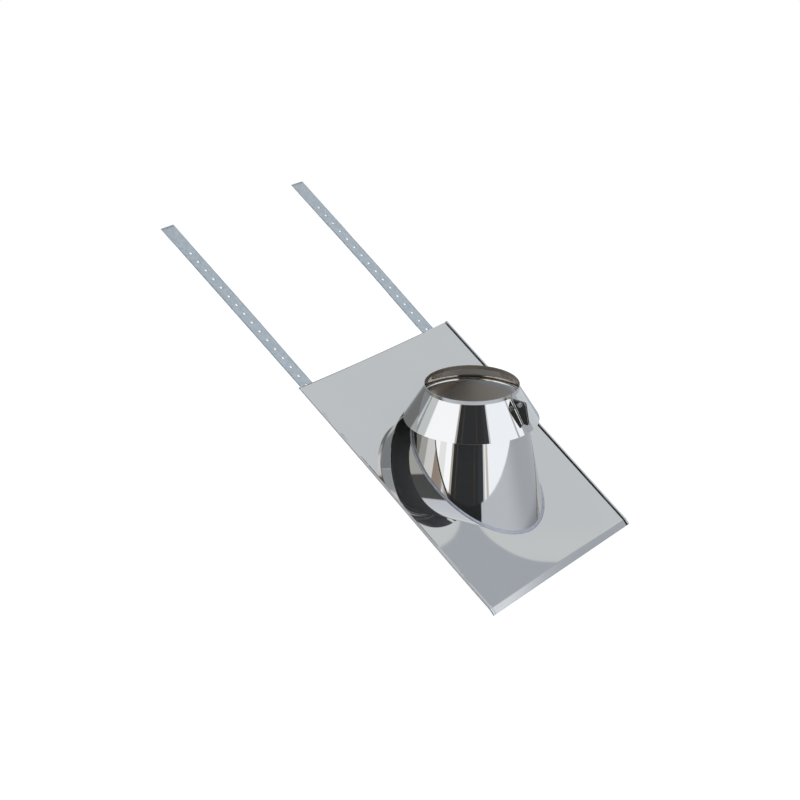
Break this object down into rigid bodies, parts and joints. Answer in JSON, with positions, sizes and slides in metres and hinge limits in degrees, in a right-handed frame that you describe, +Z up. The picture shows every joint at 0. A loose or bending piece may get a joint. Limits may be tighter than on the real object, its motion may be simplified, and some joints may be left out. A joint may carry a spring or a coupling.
{
  "type": "roof flashing",
  "caption": "Sloping roof flashing for a round flue: hemmed polished sheet, welded tapered cone, split storm collar with clamp screw, and perforated fixing straps at the top edge.",
  "frame": {"origin": "where the flue's axis crosses the underside of the base sheet", "axes": "+Z up the flue's axis, +X down the roof's slope in plan, +Y across the roof"},
  "size_m": [0.8797, 0.5, 0.6175],
  "materials": {
    "polished_sheet": "mirror-polished stainless",
    "polished_cone": "mirror-polished stainless",
    "weld_bead": "cleaned weld",
    "polished_collar": "mirror-polished stainless",
    "zinc_fasteners": "bright zinc",
    "galvanised_strap": "spangled zinc"
  },
  "bodies": {
    "root": {"base_plate": "polished_sheet", "cone": "polished_cone", "cone_weld": "weld_bead", "storm_collar": "polished_collar", "clamp_bolt": "zinc_fasteners", "clamp_nut": "zinc_fasteners", "head_washer": "zinc_fasteners", "nut_washer": "zinc_fasteners", "strap_left": "galvanised_strap", "strap_right": "galvanised_strap"}
  },
  "joints": []
}
